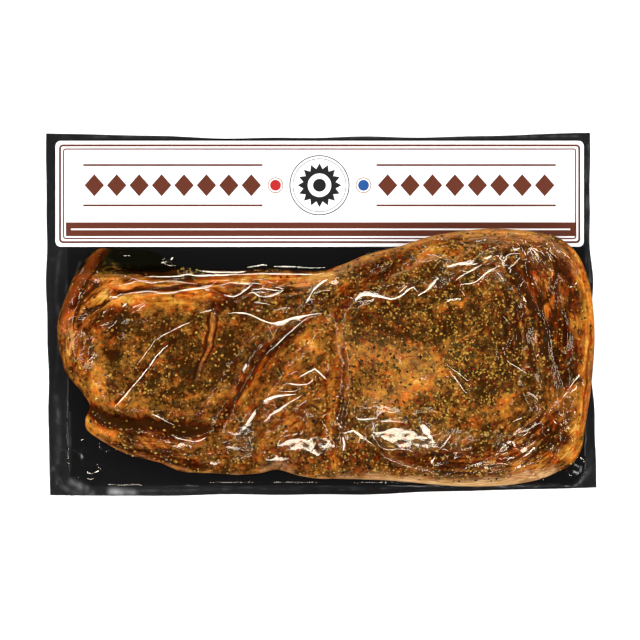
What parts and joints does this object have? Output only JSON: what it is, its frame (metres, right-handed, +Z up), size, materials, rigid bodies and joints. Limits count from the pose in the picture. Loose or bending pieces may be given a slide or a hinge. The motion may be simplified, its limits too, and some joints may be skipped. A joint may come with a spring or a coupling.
{
  "type": "vacuum-packed marinated beef tri-tip",
  "caption": "Raw marinated beef roast, a long lobed muscle thick at one end, sealed under tight clear film on a flat black backing film with a plain wide label along one side.",
  "frame": {"origin": "middle of the pack seen from above, on the surface that the pack lies on", "axes": "+X along the pack from the thin end of the roast to the thick end, +Y across it towards the label, +Z up through the roast"},
  "size_m": [0.319, 0.2102, 0.0431],
  "materials": {
    "backing_film": "black web of a vacuum pack, glossy inside the seal, greyer where the clear film is sealed to it",
    "label": "smooth white label paper with a brown printed frame, rules and band",
    "sealed_roast": "raw beef in orange brown oily marinade with coarse pepper and seed, under tight glossy clear film"
  },
  "bodies": {
    "root": {"backing_film": "backing_film", "label": "label", "sealed_roast": "sealed_roast"}
  },
  "joints": []
}
